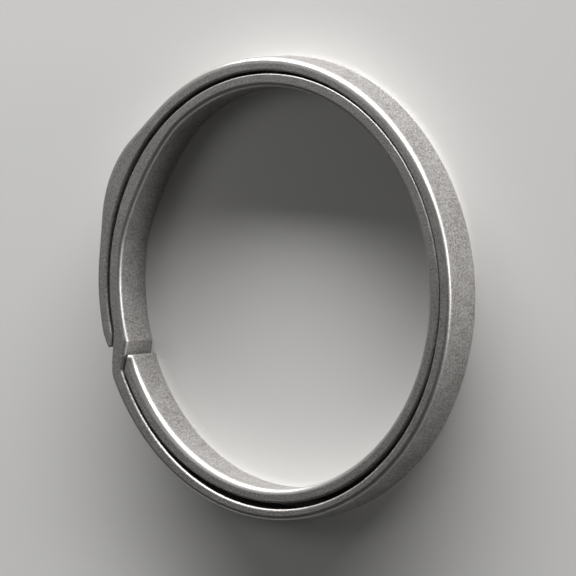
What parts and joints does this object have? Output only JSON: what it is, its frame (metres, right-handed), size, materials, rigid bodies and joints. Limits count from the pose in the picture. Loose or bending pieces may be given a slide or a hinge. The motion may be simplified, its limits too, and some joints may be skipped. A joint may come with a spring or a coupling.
{
  "type": "split ring",
  "caption": "Flat key ring cut from plate: an outer turn with a thumb lobe steps in to become an inner turn, with a narrow slit between them that guides a loop to the eye",
  "frame": {"origin": "centre of the eye on the face that the ring lies on", "axes": "+Z along the axis of the eye, out of the upper face; the step between the turns lies at -X"},
  "size_m": [0.0319, 0.032, 0.003],
  "materials": {
    "blasted_titanium": "bead-blasted, satin grey"
  },
  "bodies": {
    "root": {"split_ring": "blasted_titanium"}
  },
  "joints": []
}
